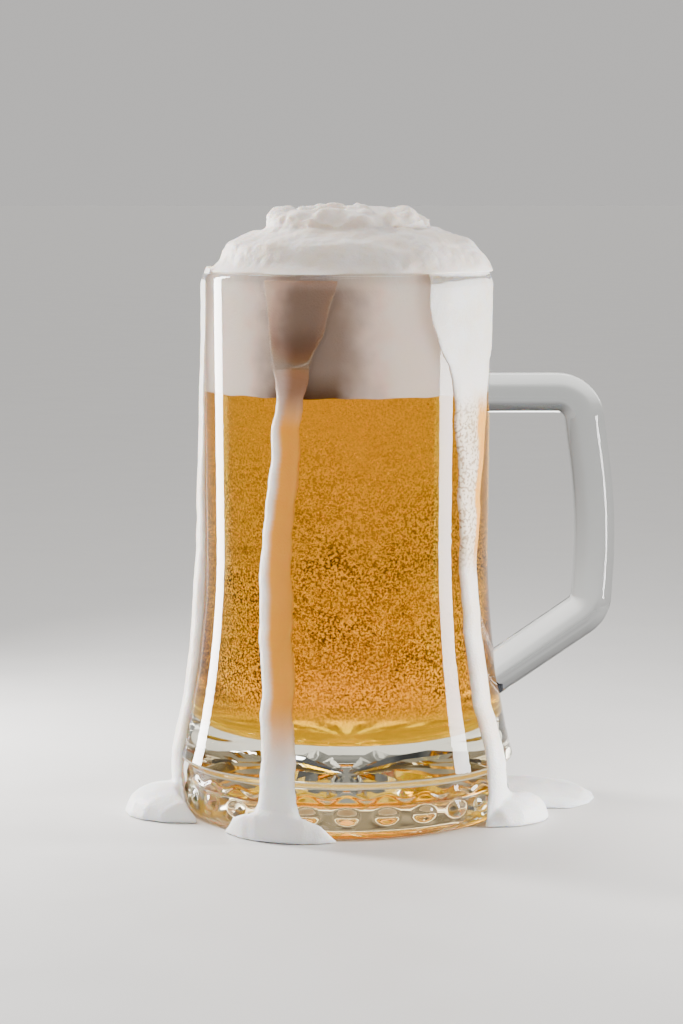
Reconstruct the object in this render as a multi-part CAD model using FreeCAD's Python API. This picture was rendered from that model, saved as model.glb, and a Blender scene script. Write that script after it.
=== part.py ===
"""A pint of beer: a handled glass mug, filled, with a foam head that has run over the rim.

Millimetres, +Z up. The origin is the centre of the foot, on the surface the mug stands on.
The handle points to +X. Azimuth is counted about Z from -Y towards +X, in degrees.
"""

import FreeCAD, Part
import math
import os

# ---- Mug body ----
MUG_HEIGHT = 160.0
RIM_RADIUS = 42.5
WALL = 3.6
WAIST_RADIUS = 41.85
WAIST_HEIGHT = 80.0
SHOULDER_RADIUS = 49.3
SHOULDER_HEIGHT = 17.5
SHOULDER_ROUND = 1.6
SHOULDER_STEP = 1.6
BAND_SETBACK = 1.5
FOOT_ROUND = 3.5
INSIDE_DRAFT = 0.35
FLOOR_HEIGHT = 24.0
FLOOR_CORNER = 9.0

# ---- Underside and foot ----
FOOT_RING_WIDTH = 6.0
RECESS_DEPTH = 9.0
RECESS_LEAN = 4.0
STAR_RAYS = 18
STAR_RAY_START = 3.0
STAR_RAY_LENGTH = 33.0
STAR_RAY_WIDTH = 4.6
STAR_RAY_WIDEST = 0.62
STAR_RAY_DEPTH = 3.2
STAR_RAY_BELOW = 0.8
BEAD_COUNT = 26
BEAD_RADIUS = 3.6
BEAD_PROUD = 0.75
BEAD_HEIGHT = 5.6
PETAL_RADIUS = 9.0
PETAL_DEPTH = 0.8
PETAL_HEIGHT = 11.6

# ---- Handle ----
HANDLE_REACH = 78.8
HANDLE_THICKNESS = 11.5
HANDLE_WIDTH = 15.0
HANDLE_BEVEL = 3.3
HANDLE_TOP_HEIGHT = 130.3
HANDLE_SHOULDER_INSET = 4.2
HANDLE_BOW_HEIGHT = 88.0
HANDLE_BOW = 0.9
HANDLE_HEEL_HEIGHT = 60.4
HANDLE_HEEL_INSET = 0.8
HANDLE_FOOT_SLOPE = 34.5
HANDLE_CORNER_RADIUS = 8.0
HANDLE_BOW_RADIUS = 170.0

# ---- Beer and foam ----
FIT = 0.1
BEER_LEVEL = 124.0
DOME_HEIGHT = 13.0
DOME_EDGE_INSET = 1.2
DOME_FULLNESS = 3.2
CROWN_RADIUS = 23.0
CROWN_HEIGHT = 4.4
CROWN_EDGE = 1.1
LUMP_COUNT = 26
LUMP_SPREAD = 24.5
LUMP_TURN = 137.508
LUMP_RADIUS = 5.2
LUMP_HEIGHT = 1.9
LUMP_VARIATION = 0.3
DOME_UNEVEN = 0.5
BULGE_FADE = 9.0
DOME_SECTORS = 60
DOME_RINGS = 18

# Each run of foam: (height, azimuth of its left edge, of its right edge, thickness), from the rim down.
FRONT_RUN = [
    (MUG_HEIGHT, -34.0, -3.0, 0.9),
    (146.0, -32.0, -8.0, 1.0),
    (134.0, -29.5, -14.0, 1.3),
    (125.0, -28.0, -16.7, 1.6),
    (114.0, -30.3, -18.0, 1.8),
    (98.0, -32.0, -19.4, 1.9),
    (86.0, -34.8, -21.8, 2.1),
    (68.0, -36.2, -21.4, 2.0),
    (34.0, -32.0, -19.0, 2.1),
    (14.0, -29.5, -16.5, 2.4),
]
LEFT_RUN = [
    (MUG_HEIGHT, -104.0, -74.0, 0.8),
    (120.0, -100.0, -79.0, 1.1),
    (90.0, -97.5, -82.5, 2.2),
    (62.0, -97.0, -83.0, 3.1),
    (34.0, -97.0, -83.0, 2.6),
    (14.0, -98.0, -81.0, 2.8),
]
RIGHT_RUN = [
    (MUG_HEIGHT, 34.0, 112.0, 1.0),
    (150.0, 33.0, 108.0, 1.0),
    (142.0, 37.0, 94.0, 1.1),
    (133.0, 44.0, 76.0, 1.3),
    (122.0, 47.0, 72.0, 1.4),
    (97.0, 49.5, 66.0, 1.6),
    (75.0, 51.0, 62.0, 1.8),
    (45.0, 53.0, 63.5, 2.0),
    (14.0, 56.5, 68.0, 2.4),
]
RUN_EDGE = 0.35
RUN_WAVER = 0.5
RUN_STEPS = 34
RUN_ACROSS = 8
RUN_TO_POOL_STEPS = 5

# Each pool: (left azimuth, right azimuth, azimuth and distance of its centre, its radius, its height).
FRONT_POOL = (-45.0, -3.0, -24.0, 30.0, 24.3, 8.4)
LEFT_POOL = (-105.5, -62.5, -84.0, 48.0, 18.3, 8.6)
RIGHT_POOL = (54.7, 88.0, 74.0, 45.0, 16.5, 8.0)
BACK_POOL = (RIGHT_POOL[1], 134.5, 108.0, 54.0, 24.5, 4.2)
POOL_STEPS = 8
POOL_FILLET = 3.4
POOL_LEAST_REACH = 1.2
POOL_LEAST_TOP = 0.6
POOL_SEAM = 0.35
RUN_CLEARANCE = 0.3
SEW_TOLERANCE = 0.001


def up(x, y, z):
    return FreeCAD.Vector(x, y, z)


def polar(radius, azimuth, height):
    """A point from its distance to the axis, its azimuth in degrees and its height."""
    angle = math.radians(azimuth)
    return up(radius * math.sin(angle), -radius * math.cos(angle), height)


def flare_radius():
    """Radius of the hollow arc that runs from the upright waist out to the shoulder."""
    drop = WAIST_HEIGHT - SHOULDER_HEIGHT
    out = SHOULDER_RADIUS - WAIST_RADIUS
    return (drop * drop + out * out) / (2.0 * out)


def outer_radius(height):
    """Outside of the mug at a height; below the shoulder it stays at the shoulder's radius."""
    if height >= WAIST_HEIGHT:
        share = (height - WAIST_HEIGHT) / (MUG_HEIGHT - WAIST_HEIGHT)
        return WAIST_RADIUS + (RIM_RADIUS - WAIST_RADIUS) * share
    if height <= SHOULDER_HEIGHT:
        return SHOULDER_RADIUS
    arc = flare_radius()
    drop = WAIST_HEIGHT - height
    return WAIST_RADIUS + arc - math.sqrt(arc * arc - drop * drop)


def inner_radius(height):
    """Inside of the mug at a height: a wall within the outside, and below the waist a slight draft."""
    if height >= WAIST_HEIGHT:
        return outer_radius(height) - WALL
    share = (WAIST_HEIGHT - height) / (WAIST_HEIGHT - FLOOR_HEIGHT)
    return WAIST_RADIUS - WALL - INSIDE_DRAFT * share


def revolve(edges):
    """A solid of revolution about Z from a closed outline in the XZ plane."""
    face = Part.Face(Part.Wire(Part.__sortEdges__(edges)))
    return face.revolve(up(0, 0, 0), up(0, 0, 1), 360.0)


def line(a, b):
    return Part.makeLine(up(a[0], 0, a[1]), up(b[0], 0, b[1]))


def arc(a, b, c):
    return Part.Arc(up(a[0], 0, a[1]), up(b[0], 0, b[1]), up(c[0], 0, c[1])).toShape()


def quarter(start, end, centre):
    """The arc from start to end about a centre, both given as (radius, height)."""
    radius = math.hypot(start[0] - centre[0], start[1] - centre[1])
    mid = ((start[0] + end[0]) / 2.0 - centre[0], (start[1] + end[1]) / 2.0 - centre[1])
    stretch = radius / math.hypot(*mid)
    return arc(start, (centre[0] + mid[0] * stretch, centre[1] + mid[1] * stretch), end)


def cavity(shrink, level):
    """The inside of the mug up to a level, all round smaller by shrink."""
    floor = FLOOR_HEIGHT + shrink
    corner = FLOOR_CORNER - shrink
    corner_top = floor + corner
    side_top = (inner_radius(level) - shrink, level)
    side_waist = (inner_radius(WAIST_HEIGHT) - shrink, WAIST_HEIGHT)
    side_low = (inner_radius(corner_top) - shrink, corner_top)
    floor_edge = (side_low[0] - corner, floor)
    return revolve([
        line((0.0, floor), floor_edge),
        quarter(floor_edge, side_low, (floor_edge[0], corner_top)),
        line(side_low, side_waist),
        line(side_waist, side_top),
        line(side_top, (0.0, level)),
        line((0.0, level), (0.0, floor)),
    ])


def mug_blank():
    """The outside of the mug as one solid of revolution, with its recessed underside."""
    band = SHOULDER_RADIUS - BAND_SETBACK
    rim_round = WALL / 2.0
    rim_low = MUG_HEIGHT - rim_round
    top_edge = (outer_radius(rim_low), rim_low)
    top_mid = (top_edge[0] - rim_round, MUG_HEIGHT)
    waist = (WAIST_RADIUS, WAIST_HEIGHT)
    shoulder = (SHOULDER_RADIUS, SHOULDER_HEIGHT)
    half_height = (WAIST_HEIGHT + SHOULDER_HEIGHT) / 2.0
    flare_mid = (outer_radius(half_height), half_height)
    step_drop = SHOULDER_ROUND * SHOULDER_STEP
    step_mid = (SHOULDER_RADIUS - BAND_SETBACK * 0.3, SHOULDER_HEIGHT - step_drop * 0.47)
    step = (band, SHOULDER_HEIGHT - step_drop)
    foot_side = (band, FOOT_ROUND)
    foot_edge = (band - FOOT_ROUND, 0.0)
    ring_in = (foot_edge[0] - FOOT_RING_WIDTH, 0.0)
    recess = (ring_in[0] - RECESS_LEAN, RECESS_DEPTH)
    return revolve([
        line((0.0, MUG_HEIGHT), top_mid),
        quarter(top_mid, top_edge, (top_mid[0], rim_low)),
        line(top_edge, waist),
        arc(waist, flare_mid, shoulder),
        arc(shoulder, step_mid, step),
        line(step, foot_side),
        quarter(foot_side, foot_edge, (foot_edge[0], FOOT_ROUND)),
        line(foot_edge, ring_in),
        line(ring_in, recess),
        line(recess, (0.0, RECESS_DEPTH)),
        line((0.0, RECESS_DEPTH), (0.0, MUG_HEIGHT)),
    ])


def rim_inside():
    """The ring cut away to round the rim's inner edge."""
    rim_round = WALL / 2.0
    rim_low = MUG_HEIGHT - rim_round
    inner = inner_radius(rim_low)
    crest = outer_radius(rim_low) - rim_round
    side = (inner, rim_low)
    top = (crest, MUG_HEIGHT)
    beyond = MUG_HEIGHT + rim_round
    return revolve([
        quarter(side, top, (crest, rim_low)),
        line(top, (crest, beyond)),
        line((crest, beyond), (inner - FIT, beyond)),
        line((inner - FIT, beyond), (inner - FIT, rim_low)),
        line((inner - FIT, rim_low), side),
    ])


def star_ray(azimuth):
    """One V groove of the star under the foot, pointed at both ends."""
    start = STAR_RAY_START
    end = STAR_RAY_START + STAR_RAY_LENGTH
    widest = start + STAR_RAY_LENGTH * STAR_RAY_WIDEST
    half = STAR_RAY_WIDTH / 2.0
    below = RECESS_DEPTH - STAR_RAY_BELOW
    top = RECESS_DEPTH + STAR_RAY_DEPTH
    inner = up(start, 0, below)
    outer = up(end, 0, below)
    left = up(widest, half, below)
    right = up(widest, -half, below)
    crest = up(widest, 0, top)
    corners = [(inner, right, crest), (right, outer, crest), (outer, left, crest), (left, inner, crest)]
    faces = [Part.Face(Part.makePolygon([a, b, c, a])) for a, b, c in corners]
    faces.append(Part.Face(Part.makePolygon([inner, left, outer, right, inner])))
    ray = Part.Solid(Part.Shell(faces))
    ray.rotate(up(0, 0, 0), up(0, 0, 1), azimuth)
    return ray


def offset_corners(points, distance):
    """The corners of a bent line moved sideways by a distance, mitred at its turns."""
    moved = []
    for i, (x, z) in enumerate(points):
        before = points[max(i - 1, 0)]
        after = points[min(i + 1, len(points) - 1)]
        normals = []
        for a, b in ((before, (x, z)), ((x, z), after)):
            length = math.hypot(b[0] - a[0], b[1] - a[1])
            if length > 0.0:
                normals.append((-(b[1] - a[1]) / length, (b[0] - a[0]) / length))
        nx = sum(n[0] for n in normals)
        nz = sum(n[1] for n in normals)
        scale = 2.0 * distance / (nx * nx + nz * nz) if len(normals) == 2 else distance
        moved.append((x + nx * scale, z + nz * scale))
    return moved


def rounded_edges(points, radii):
    """Straight edges through the points, with a tangent arc of the given radius at each inner one."""
    edges = []
    last = points[0]
    for i in range(1, len(points) - 1):
        here = points[i]
        back = (points[i - 1][0] - here[0], points[i - 1][1] - here[1])
        ahead = (points[i + 1][0] - here[0], points[i + 1][1] - here[1])
        back_length = math.hypot(*back)
        ahead_length = math.hypot(*ahead)
        back = (back[0] / back_length, back[1] / back_length)
        ahead = (ahead[0] / ahead_length, ahead[1] / ahead_length)
        half_angle = math.acos(back[0] * ahead[0] + back[1] * ahead[1]) / 2.0
        tangent = radii[i - 1] / math.tan(half_angle)
        start = (here[0] + back[0] * tangent, here[1] + back[1] * tangent)
        end = (here[0] + ahead[0] * tangent, here[1] + ahead[1] * tangent)
        bisector = (back[0] + ahead[0], back[1] + ahead[1])
        length = math.hypot(*bisector)
        reach = radii[i - 1] / math.sin(half_angle)
        centre = (here[0] + bisector[0] / length * reach, here[1] + bisector[1] / length * reach)
        edges.append(line(last, start))
        edges.append(quarter(start, end, centre))
        last = end
    edges.append(line(last, points[-1]))
    return edges


def handle():
    """The handle: a bevelled bar, bent from a level top through an upright grip to a slanted foot."""
    half = HANDLE_THICKNESS / 2.0
    grip = HANDLE_REACH - half
    top = HANDLE_TOP_HEIGHT - half
    root = WAIST_RADIUS - WALL
    heel = (grip - HANDLE_HEEL_INSET, HANDLE_HEEL_HEIGHT)
    drop = (heel[0] - root) * math.tan(math.radians(HANDLE_FOOT_SLOPE))
    centre_line = [
        (root, top),
        (grip - HANDLE_SHOULDER_INSET, top),
        (grip + HANDLE_BOW, HANDLE_BOW_HEIGHT),
        heel,
        (root, heel[1] - drop),
    ]
    radii = [HANDLE_CORNER_RADIUS, HANDLE_BOW_RADIUS, HANDLE_CORNER_RADIUS]
    outside = offset_corners(centre_line, half)
    inside = offset_corners(centre_line, -half)
    edges = rounded_edges(outside, [r + half for r in radii])
    edges += rounded_edges(inside, [r - half for r in radii])
    edges += [line(outside[0], inside[0]), line(outside[-1], inside[-1])]
    face = Part.Face(Part.Wire(Part.__sortEdges__(edges)))
    face.translate(up(0, HANDLE_WIDTH / 2.0, 0))
    bar = face.extrude(up(0, -HANDLE_WIDTH, 0))
    bevelled = [
        edge
        for edge in bar.Edges
        if abs(abs(edge.BoundBox.YMin) - HANDLE_WIDTH / 2.0) < SEW_TOLERANCE
        and edge.BoundBox.YLength < SEW_TOLERANCE
        and edge.BoundBox.XMax > root + HANDLE_THICKNESS
    ]
    return bar.makeChamfer(HANDLE_BEVEL, bevelled)


def glass_mug():
    body = mug_blank().fuse(handle())
    body = body.cut([cavity(0.0, MUG_HEIGHT), rim_inside()])
    body = body.cut([star_ray(360.0 * (i + 0.5) / STAR_RAYS) for i in range(STAR_RAYS)])
    band = SHOULDER_RADIUS - BAND_SETBACK
    step = 360.0 / BEAD_COUNT
    petals = []
    beads = []
    for i in range(BEAD_COUNT):
        bead = Part.makeSphere(BEAD_RADIUS, polar(band - BEAD_RADIUS + BEAD_PROUD, i * step, BEAD_HEIGHT))
        petal_distance = band + PETAL_RADIUS - PETAL_DEPTH
        petal = Part.makeSphere(PETAL_RADIUS, polar(petal_distance, (i + 0.5) * step, PETAL_HEIGHT))
        beads.append(bead)
        petals.append(petal)
    body = body.cut(petals)
    body = body.fuse(beads)
    return body.removeSplitter()


def beer():
    """The beer, a solid up to its level."""
    return cavity(FIT, BEER_LEVEL)


def faceted(points, triangles):
    """A closed solid from its corner points and its triangles, facing outwards."""
    shape = Part.Shape()
    shape.makeShapeFromMesh((points, triangles), SEW_TOLERANCE)
    solid = Part.Solid(shape.Shells[0])
    if solid.Volume < 0.0:
        solid.reverse()
    return solid


def smooth(share):
    share = min(max(share, 0.0), 1.0)
    return share * share * (3.0 - 2.0 * share)


def lump_places():
    """Centre, radius and height of each lump of foam, spread by the golden angle over the crown."""
    places = []
    for i in range(LUMP_COUNT):
        distance = LUMP_SPREAD * math.sqrt((i + 0.5) / LUMP_COUNT)
        centre = polar(distance, i * LUMP_TURN, 0.0)
        size = 1.0 + LUMP_VARIATION * math.sin(math.radians(i * LUMP_TURN))
        places.append((centre.x, centre.y, LUMP_RADIUS * size, LUMP_HEIGHT * size))
    return places


def dome_height(x, y, edge, lumps):
    """Height of the foam above the rim at a place inside the edge radius."""
    distance = math.hypot(x, y)
    share = min(distance / edge, 1.0)
    height = DOME_HEIGHT * math.sqrt(1.0 - share ** DOME_FULLNESS)
    height += CROWN_HEIGHT / (1.0 + math.exp((distance - CROWN_RADIUS) / CROWN_EDGE))
    bump = 0.0
    for cx, cy, radius, proud in lumps:
        near = 1.0 - ((x - cx) ** 2 + (y - cy) ** 2) / (radius * radius)
        if near > 0.0:
            bump = max(bump, proud * math.sqrt(near))
    uneven = DOME_UNEVEN * math.sin(x * 0.21 + 0.7) * math.cos(y * 0.17 - 0.4)
    return height + bump + uneven * (1.0 - share ** 4)


def run_reach(azimuth):
    """How far past the rim's crest the head bulges at an azimuth, where a run leaves it."""
    reach = 0.0
    for run in (FRONT_RUN, LEFT_RUN, RIGHT_RUN):
        _, left, right, thick = run[0]
        inside = min(azimuth - left, right - azimuth)
        wanted = WALL / 2.0 + RUN_CLEARANCE + thick - DOME_EDGE_INSET + WALL / 2.0
        reach = max(reach, wanted * smooth(inside / BULGE_FADE + 0.5))
    return reach


def foam_head():
    """Foam from the beer up to the rim and its dome above, bulging over the rim where a run leaves."""
    lumps = lump_places()
    points = [up(0, 0, BEER_LEVEL)]
    rings = []
    azimuths = [360.0 * i / DOME_SECTORS - 180.0 for i in range(DOME_SECTORS)]

    def add_ring(places):
        first = len(points)
        points.extend(places)
        rings.append([first + i for i in range(len(places))])

    rim_low = MUG_HEIGHT - WALL / 2.0
    add_ring([polar(inner_radius(BEER_LEVEL) - FIT, a, BEER_LEVEL) for a in azimuths])
    add_ring([polar(inner_radius(rim_low) - FIT, a, rim_low) for a in azimuths])
    add_ring([polar(inner_radius(rim_low) - FIT, a, MUG_HEIGHT + FIT) for a in azimuths])
    edges = [RIM_RADIUS - DOME_EDGE_INSET + run_reach(a) for a in azimuths]
    for ring in range(DOME_RINGS):
        inward = 1.0 - ring / DOME_RINGS
        share = 0.5 * inward + 0.5 * math.sin(math.pi / 2.0 * inward)
        places = []
        for a, edge in zip(azimuths, edges):
            spot = polar(edge * share, a, 0.0)
            height = dome_height(spot.x, spot.y, edge, lumps) if ring else 0.0
            places.append(up(spot.x, spot.y, MUG_HEIGHT + FIT + height))
        add_ring(places)
    points.append(up(0, 0, MUG_HEIGHT + FIT + dome_height(0.0, 0.0, RIM_RADIUS, lumps)))
    triangles = []
    for i in range(DOME_SECTORS):
        j = (i + 1) % DOME_SECTORS
        triangles.append((0, rings[0][i], rings[0][j]))
        for low, high in zip(rings, rings[1:]):
            triangles.append((low[i], high[i], high[j]))
            triangles.append((low[i], high[j], low[j]))
        triangles.append((rings[-1][i], len(points) - 1, rings[-1][j]))
    return faceted(points, triangles)


def station(run, height):
    """Left and right azimuth and thickness of a run at a height, smoothly between its stations."""
    for upper, lower in zip(run, run[1:]):
        if height >= lower[0]:
            share = smooth((upper[0] - height) / (upper[0] - lower[0]))
            return [upper[k] + (lower[k] - upper[k]) * share for k in (1, 2, 3)]
    return list(run[-1][1:])


def foot_seat():
    """Radius at which a pool meets the foot of the mug, just clear of its beads."""
    return SHOULDER_RADIUS - BAND_SETBACK + BEAD_PROUD + RUN_CLEARANCE


def pool_reach(pool, azimuth):
    """Distance from the axis to the pool's edge on the table, at an azimuth."""
    _, _, centre_azimuth, centre_distance, radius, _ = pool
    turn = math.radians(azimuth - centre_azimuth)
    side = centre_distance * math.sin(turn)
    least = foot_seat() + POOL_LEAST_REACH
    if abs(side) >= radius:
        return least
    return max(centre_distance * math.cos(turn) + math.sqrt(radius * radius - side * side), least)


def sheet_solid(grid_out, grid_in):
    """A closed solid between two grids of points that face each other."""
    rows = len(grid_out)
    columns = len(grid_out[0])
    points = [p for row in grid_out for p in row] + [p for row in grid_in for p in row]
    shift = rows * columns
    triangles = []

    def quad(a, b, c, d):
        triangles.append((a, b, c))
        triangles.append((a, c, d))

    for r in range(rows - 1):
        for c in range(columns - 1):
            a = r * columns + c
            quad(a, a + columns, a + columns + 1, a + 1)
            quad(a + shift, a + shift + 1, a + shift + columns + 1, a + shift + columns)
    for r in range(rows - 1):
        for c, flip in ((0, False), (columns - 1, True)):
            a = r * columns + c
            b = a + columns
            if flip:
                quad(a, b, b + shift, a + shift)
            else:
                quad(a, a + shift, b + shift, b)
    for c in range(columns - 1):
        for r, flip in ((0, True), (rows - 1, False)):
            a = r * columns + c
            if flip:
                quad(a, a + 1, a + 1 + shift, a + shift)
            else:
                quad(a, a + shift, a + 1 + shift, a + 1)
    return faceted(points, triangles)


def pool_rows(pool, run):
    """The rows of a pool's grid, from where it meets the glass out to its edge on the table."""
    left, right, _, _, _, height = pool
    if not run:
        left += POOL_SEAM
    inner = foot_seat()
    outs = []
    ins = []
    for step in range(POOL_STEPS + 1):
        share = step / POOL_STEPS
        row_out = []
        row_in = []
        for c in range(RUN_ACROSS + 1):
            across = c / RUN_ACROSS
            azimuth = left + (right - left) * across
            swell = math.sin(math.pi * across) ** 0.5
            reach = pool_reach(pool, azimuth)
            rise = RUN_EDGE + (height - RUN_EDGE) * swell * math.sqrt(max(1.0 - share ** 2.2, 0.0))
            start = inner + (POOL_FILLET * swell if run else RUN_EDGE)
            start = min(start, reach - POOL_LEAST_TOP)
            row_out.append(polar(start + (reach - start) * share, azimuth, rise))
            row_in.append(polar(inner + (reach - inner) * share, azimuth, 0.0))
        outs.append(row_out)
        ins.append(row_in)
    return outs, ins


def foam_run(run, pool):
    """A run of foam down the outside of the mug, from under the head's bulge to its pool on the table."""
    outs = []
    ins = []
    lowest = run[-1][0]
    for step in range(RUN_STEPS + 1):
        height = MUG_HEIGHT + (lowest - MUG_HEIGHT) * step / RUN_STEPS
        left, right, thick = station(run, height)
        waver = RUN_WAVER * (math.sin(height * 0.31) + 0.6 * math.sin(height * 0.83 + 1.0))
        waver *= min(step / 4.0, 1.0)
        row_out = []
        row_in = []
        for c in range(RUN_ACROSS + 1):
            across = c / RUN_ACROSS
            azimuth = left + (right - left) * across + waver
            swell = math.sin(math.pi * across) ** 0.6
            radius = outer_radius(height) + RUN_CLEARANCE
            row_in.append(polar(radius, azimuth, height))
            row_out.append(polar(radius + RUN_EDGE + (thick - RUN_EDGE) * swell, azimuth, height))
        outs.append(row_out)
        ins.append(row_in)
    pool_out, pool_in = pool_rows(pool, True)
    for step in range(1, RUN_TO_POOL_STEPS):
        share = step / RUN_TO_POOL_STEPS
        row_out = []
        row_in = []
        for c in range(RUN_ACROSS + 1):
            top = outs[RUN_STEPS][c]
            low = pool_out[0][c]
            top_in = ins[RUN_STEPS][c]
            low_in = pool_in[0][c]
            ease = share * share
            place = top + (low - top) * ease
            place.z = top.z + (low.z - top.z) * math.sin(math.pi / 2.0 * share)
            turn_top = math.atan2(top_in.x, -top_in.y)
            turn_low = math.atan2(low_in.x, -low_in.y)
            azimuth = math.degrees(turn_top + (turn_low - turn_top) * ease)
            shoulder_seat = SHOULDER_RADIUS + RUN_CLEARANCE
            seat = shoulder_seat + (foot_seat() - shoulder_seat) * share
            inside = polar(seat, azimuth, top_in.z * (1.0 - share))
            least = math.hypot(inside.x, inside.y) + RUN_EDGE
            distance = math.hypot(place.x, place.y)
            if distance < least:
                place.x *= least / distance
                place.y *= least / distance
            row_out.append(place)
            row_in.append(inside)
        outs.append(row_out)
        ins.append(row_in)
    return sheet_solid(outs + pool_out, ins + pool_in)


def foam_pool(pool):
    """A pool of foam by itself on the table, beside the foot of the mug."""
    outs, ins = pool_rows(pool, False)
    return sheet_solid(outs, ins)


NODES = {
    "glass_mug": glass_mug,
    "beer": beer,
    "foam_head": foam_head,
    "foam_run_front": lambda: foam_run(FRONT_RUN, FRONT_POOL),
    "foam_run_left": lambda: foam_run(LEFT_RUN, LEFT_POOL),
    "foam_run_right": lambda: foam_run(RIGHT_RUN, RIGHT_POOL),
    "foam_pool_back": lambda: foam_pool(BACK_POOL),
}

os.makedirs("parts", exist_ok=True)
for name, make in NODES.items():
    shape = make()
    shape.exportStep("parts/" + name + ".step")
    print(name, "valid", shape.isValid(), "solids", len(shape.Solids), "faces", len(shape.Faces),
          "volume", round(shape.Volume, 1))
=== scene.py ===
"""A handled glass mug of pale beer whose foam head has run over the rim, laid out as an add-on."""

import math
import random

import bpy
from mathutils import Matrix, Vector, noise


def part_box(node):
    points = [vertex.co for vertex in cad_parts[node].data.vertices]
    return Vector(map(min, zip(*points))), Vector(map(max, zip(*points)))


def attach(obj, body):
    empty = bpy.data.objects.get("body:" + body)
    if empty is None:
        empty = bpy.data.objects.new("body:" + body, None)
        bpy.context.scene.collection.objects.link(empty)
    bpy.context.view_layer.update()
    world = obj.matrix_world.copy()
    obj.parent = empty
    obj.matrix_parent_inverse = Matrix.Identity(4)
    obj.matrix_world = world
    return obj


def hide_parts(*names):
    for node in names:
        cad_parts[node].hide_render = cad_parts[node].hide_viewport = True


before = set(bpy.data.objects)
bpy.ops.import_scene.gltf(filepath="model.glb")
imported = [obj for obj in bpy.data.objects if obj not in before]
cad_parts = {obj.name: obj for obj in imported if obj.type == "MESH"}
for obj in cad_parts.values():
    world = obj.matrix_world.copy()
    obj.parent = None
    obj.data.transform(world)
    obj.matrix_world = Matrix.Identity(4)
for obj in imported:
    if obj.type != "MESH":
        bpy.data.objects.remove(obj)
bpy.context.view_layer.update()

bl_info = {
    "name": "Mug of beer",
    "version": (1, 0, 0),
    "blender": (4, 5, 0),
    "location": "View3D > Sidebar > Mug of beer",
    "description": "Builds a glass mug of beer with its foam head, runs and pools",
    "category": "Object",
}

MM = 0.001
BODY = "root"
WARM_WHITE = (1.0, 0.985, 0.965)

# The line between beer and foam lies a little above the frame's, and the glass floor just under the beer.
LINE_RAISE = 1.2 * MM
FLOOR_GAP = 0.1 * MM

# ---- Sizes taken from the frame ----
MUG_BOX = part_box("glass_mug")
MUG_HEIGHT = MUG_BOX[1][2]
HANDLE_REACH = MUG_BOX[1][0]
SHOULDER_RADIUS = -MUG_BOX[0][0]
BEER_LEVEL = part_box("beer")[1][2] + LINE_RAISE
FLOOR_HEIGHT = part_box("beer")[0][2] - FLOOR_GAP
HEAD_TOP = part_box("foam_head")[1][2]

# ---- Sizes of the mug's own shape ----
RIM_RADIUS = 42.5 * MM
WAIST_RADIUS = 41.85 * MM
WAIST_HEIGHT = 80.0 * MM
WALL = 3.6 * MM
INSIDE_DRAFT = 0.35 * MM
SHOULDER_HEIGHT = 17.5 * MM
SHOULDER_ROUND = 1.6 * MM
BAND_SETBACK = 1.5 * MM
FOOT_ROUND = 3.5 * MM
FOOT_RING_WIDTH = 6.0 * MM
RECESS_DEPTH = 9.0 * MM
RECESS_LEAN = 4.0 * MM
FLOOR_CORNER = 9.0 * MM

# ---- Sizes of the handle: heights from the floor, and how far its corners lie from the grip's line ----
HANDLE_TOP = 130.3 * MM
HANDLE_BELLY_HEIGHT = 88.0 * MM
HANDLE_HEEL_HEIGHT = 60.4 * MM
HANDLE_TOP_INSET = 4.2 * MM
HANDLE_BELLY = 0.9 * MM
HANDLE_HEEL_INSET = 0.8 * MM
HANDLE_HEEL_SLOPE = math.radians(34.5)
HANDLE_BEND = 8.0 * MM
HANDLE_GRIP_BEND = 170.0 * MM
HANDLE_CHAMFER = 3.3 * MM
HANDLE_SOFTENING = 0.85 * MM

# ---- How the beer and the foam are seated ----
SEAT = 0.12 * MM
BEER_LAP = 1.2 * MM

# ---- The foam's own sizes ----
GOLDEN_ANGLE = 2.399963
CROWN_RING = 23.0 * MM
CROWN_MIDDLE = 27.0 * MM
SHELF_RISE = 11.0 * MM
# Painted light: the strength of a faint glow on the foam behind the glass, standing in for lamp light that
# reaches it through the glass.
FOAM_GLOW = 0.26
RUN_DETAIL = 0.42 * MM
RUN_SMOOTHING = 14
FILM_SINK = 0.55 * MM

# ---- Spacing of the points along the spun outlines ----
BAND_STEP = 0.55 * MM
FOOT_STEP = 1.0 * MM
WALL_STEP = 6.0 * MM
WAIST_STEPS = 26
RIM_STEPS = 14
CORNER_STEPS = 12
BEER_CORNER_STEPS = 14


def flare_radius():
    """Radius of the hollow arc that runs from the upright waist out to the shoulder."""
    drop = WAIST_HEIGHT - SHOULDER_HEIGHT
    out = SHOULDER_RADIUS - WAIST_RADIUS
    return (drop * drop + out * out) / (2.0 * out)


def outer_radius(height):
    """Outside of the mug at a height; below the shoulder it stays at the shoulder's radius."""
    if height >= WAIST_HEIGHT:
        share = (height - WAIST_HEIGHT) / (MUG_HEIGHT - WAIST_HEIGHT)
        return WAIST_RADIUS + (RIM_RADIUS - WAIST_RADIUS) * share
    if height <= SHOULDER_HEIGHT:
        return SHOULDER_RADIUS
    arc = flare_radius()
    drop = WAIST_HEIGHT - height
    return WAIST_RADIUS + arc - math.sqrt(arc * arc - drop * drop)


def inner_radius(height):
    """Inside of the mug at a height, above the rounded corner of the floor."""
    if height >= WAIST_HEIGHT:
        return outer_radius(height) - WALL
    share = (WAIST_HEIGHT - height) / (WAIST_HEIGHT - FLOOR_HEIGHT)
    return WAIST_RADIUS - WALL - INSIDE_DRAFT * share


def smooth(share):
    """Eases a share between 0 and 1, and holds it there beyond."""
    share = min(max(share, 0.0), 1.0)
    return share * share * (3.0 - 2.0 * share)


# ---- Small helpers for modelling ----

def deselect():
    """Leaves edit mode and clears the selection."""
    if bpy.context.object is not None and bpy.context.object.mode != "OBJECT":
        bpy.ops.object.mode_set(mode="OBJECT")
    bpy.ops.object.select_all(action="DESELECT")


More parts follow.
